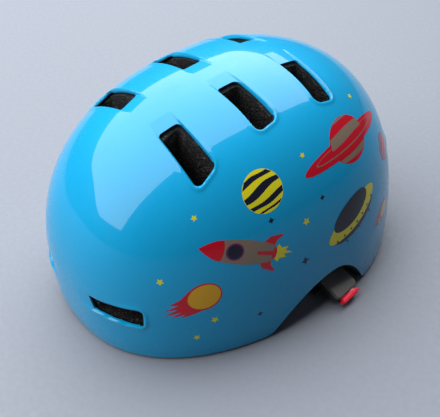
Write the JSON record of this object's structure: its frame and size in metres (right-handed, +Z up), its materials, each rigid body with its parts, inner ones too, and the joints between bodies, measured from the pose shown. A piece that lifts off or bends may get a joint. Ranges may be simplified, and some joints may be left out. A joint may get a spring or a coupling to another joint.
{
  "type": "cycling helmet",
  "caption": "Child's hard-shell cycling helmet with vents, foam liner, pads, dial-adjusted nape cradle, harness and push-button chin buckle.",
  "frame": {"origin": "centre of the footprint, on the plane the rim stands on", "axes": "+Z up, -Y towards the wearer's front, +X towards the wearer's left"},
  "size_m": [0.1942, 0.2392, 0.135],
  "materials": {
    "shell_blue": "high gloss sky blue with small printed space graphics",
    "foam_black": "black moulded bead foam, matte and speckled",
    "pad_fabric": "black brushed knit over soft foam",
    "hook_tape": "black hook tape",
    "webbing": "black woven webbing",
    "dark_plastic": "black moulded nylon, satin",
    "grey_plastic": "dark grey moulded plastic, satin",
    "red_plastic": "red moulded plastic, ribbed",
    "steel": "bright steel"
  },
  "bodies": {
    "helmet": {"band_rivet_left": "dark_plastic", "band_rivet_right": "dark_plastic", "brow_hook_tape": "hook_tape", "brow_pad": "pad_fabric", "buckle_base": "grey_plastic", "buckle_cover": "grey_plastic", "buckle_tongue": "red_plastic", "button_spring": "steel", "chin_strap_left": "webbing", "chin_strap_right": "webbing", "cradle_hanger": "dark_plastic", "crown_hook_tape_left": "hook_tape", "crown_hook_tape_right": "hook_tape", "crown_pad_left": "pad_fabric", "crown_pad_right": "pad_fabric", "foam_liner": "foam_black", "front_band": "dark_plastic", "outer_shell": "shell_blue", "rear_hook_tape_left": "hook_tape", "rear_hook_tape_right": "hook_tape", "rear_pad_left": "pad_fabric", "rear_pad_right": "pad_fabric", "side_hook_tape_left": "hook_tape", "side_hook_tape_right": "hook_tape", "side_pad_left": "pad_fabric", "side_pad_right": "pad_fabric", "strap_anchor_front_left": "dark_plastic", "strap_anchor_front_right": "dark_plastic", "strap_anchor_rear_left": "dark_plastic", "strap_anchor_rear_right": "dark_plastic", "strap_divider_left": "dark_plastic", "strap_divider_right": "dark_plastic", "strap_front_left": "webbing", "strap_front_right": "webbing", "strap_rear_left": "webbing", "strap_rear_right": "webbing", "strap_tail_right": "webbing"},
    "cradle": {"cradle_base": "dark_plastic", "cradle_cover": "dark_plastic", "nape_pad": "pad_fabric", "detent_spring": "steel"},
    "dial": {"dial_knob": "dark_plastic", "drive_gear": "dark_plastic", "dial_screw": "steel"},
    "left_arm": {"adjuster_arm_left": "dark_plastic"},
    "right_arm": {"adjuster_arm_right": "dark_plastic"},
    "button": {"release_button": "red_plastic"},
    "lever_left": {"divider_lever_left": "dark_plastic"},
    "lever_right": {"divider_lever_right": "dark_plastic"},
    "keeper": {"strap_keeper": "dark_plastic"}
  },
  "joints": [
    {"name": "cradle_height", "type": "slide", "parent": "helmet", "child": "cradle", "axis": [0, 0, 1], "range_m": [0, 0.008]},
    {"name": "dial_turn", "type": "hinge", "parent": "cradle", "child": "dial", "pos_m": [0, 0.084, 0.016], "axis": [0, -1, 0], "range_deg": [0, 110]},
    {"name": "left_arm_slide", "type": "slide", "parent": "cradle", "child": "left_arm", "axis": [-1, 0, 0], "range_m": [0, 0.008]},
    {"name": "right_arm_slide", "type": "slide", "parent": "cradle", "child": "right_arm", "axis": [1, 0, 0], "range_m": [0, 0.008]},
    {"name": "button_press", "type": "slide", "parent": "helmet", "child": "button", "axis": [-0.8844, -0.1086, 0.454], "range_m": [0, 0.0016], "stiffness_N_per_m": 600, "springref_m": -0.001, "deforming": ["button_spring"]},
    {"name": "lever_left_swing", "type": "hinge", "parent": "helmet", "child": "lever_left", "pos_m": [0.0733, 0.003, 0.0222], "axis": [0, -1, 0], "range_deg": [0, 60]},
    {"name": "lever_right_swing", "type": "hinge", "parent": "helmet", "child": "lever_right", "pos_m": [-0.0733, 0.003, 0.0222], "axis": [0, 1, 0], "range_deg": [0, 60]},
    {"name": "keeper_slide", "type": "slide", "parent": "helmet", "child": "keeper", "axis": [0.925, -0.38, 0], "range_m": [-0.004, 0.008]}
  ],
  "couplings": [
    {"joint": "left_arm_slide", "follows": "dial_turn", "m_per_rad": 0.004},
    {"joint": "right_arm_slide", "follows": "dial_turn", "m_per_rad": 0.004}
  ]
}
